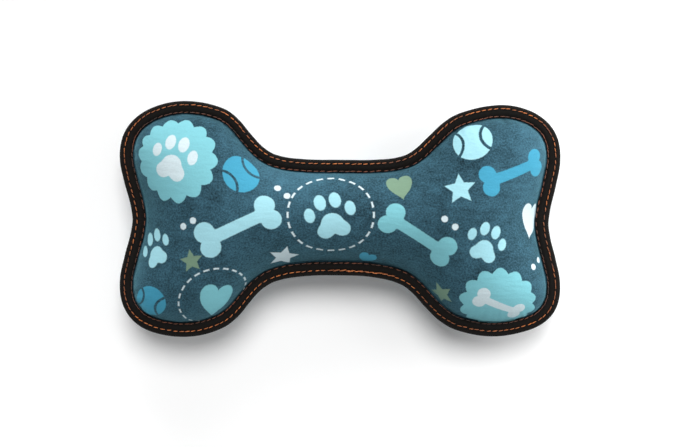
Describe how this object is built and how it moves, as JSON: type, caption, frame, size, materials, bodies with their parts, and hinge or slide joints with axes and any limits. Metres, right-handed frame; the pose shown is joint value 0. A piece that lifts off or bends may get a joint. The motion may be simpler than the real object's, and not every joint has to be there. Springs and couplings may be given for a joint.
{
  "type": "squeaky dog toy",
  "caption": "Bone-shaped stuffed dog toy of two plush panels bound in stitched black edge tape, with a bellows squeaker in each end that sounds when the toy is squeezed.",
  "frame": {"origin": "on the floor under the middle of the bone, which lies on its back panel", "axes": "+X along the bone, +Y across it towards the picture's upper edge, +Z out of the front panel"},
  "size_m": [0.2996, 0.1596, 0.0595],
  "materials": {
    "plush": null,
    "tape": "matt black woven edge tape",
    "thread": "rust-orange heavy sewing thread",
    "fibre": "white polyester fibre fill",
    "pouch_cloth": "undyed plain-weave cotton",
    "bulb_plastic": "milky blow-moulded polyethylene",
    "reed_unit": "satin moulded plastic",
    "reed_film": "clear-yellow polyester film"
  },
  "bodies": {
    "back_half": {"back_cover": "plush", "back_fill": "fibre", "edge_tape": "tape", "outer_stitches_front": "thread", "inner_stitches_front": "thread", "outer_stitches_back": "thread", "inner_stitches_back": "thread", "left_pouch_front": "pouch_cloth", "left_pouch_back": "pouch_cloth", "left_squeaker_pleats": "bulb_plastic", "left_squeaker_base": "bulb_plastic", "left_reed_holder": "reed_unit", "left_reed_wedge": "reed_unit", "right_pouch_front": "pouch_cloth", "right_pouch_back": "pouch_cloth", "right_squeaker_pleats": "bulb_plastic", "right_squeaker_base": "bulb_plastic", "right_reed_holder": "reed_unit", "right_reed_wedge": "reed_unit"},
    "front_half": {"front_cover": "plush", "front_fill": "fibre"},
    "left_crown": {"left_squeaker_crown": "bulb_plastic"},
    "right_crown": {"right_squeaker_crown": "bulb_plastic"},
    "left_tongue": {"left_reed": "reed_film"},
    "right_tongue": {"right_reed": "reed_film"}
  },
  "joints": [
    {"name": "squeeze", "type": "slide", "parent": "back_half", "child": "front_half", "axis": [0, 0, -1], "range_m": [0, 0.016], "stiffness_N_per_m": 1200, "deforming": ["front_cover", "front_fill"]},
    {"name": "left_crown_press", "type": "slide", "parent": "back_half", "child": "left_crown", "axis": [0, 0, -1], "range_m": [0, 0.012], "deforming": ["left_squeaker_pleats", "left_pouch_front"]},
    {"name": "right_crown_press", "type": "slide", "parent": "back_half", "child": "right_crown", "axis": [0, 0, -1], "range_m": [0, 0.012], "deforming": ["right_squeaker_pleats", "right_pouch_front"]},
    {"name": "left_reed_flutter", "type": "hinge", "parent": "back_half", "child": "left_tongue", "pos_m": [-0.092, 0, 0.021], "axis": [1, 0, 0], "range_deg": [-6, 1.5], "stiffness_Nm_per_rad": 0.001},
    {"name": "right_reed_flutter", "type": "hinge", "parent": "back_half", "child": "right_tongue", "pos_m": [0.092, 0, 0.021], "axis": [1, 0, 0], "range_deg": [-6, 1.5], "stiffness_Nm_per_rad": 0.001}
  ],
  "couplings": [
    {"joint": "left_crown_press", "follows": "squeeze", "ratio": 0.75},
    {"joint": "right_crown_press", "follows": "squeeze", "ratio": 0.75}
  ]
}
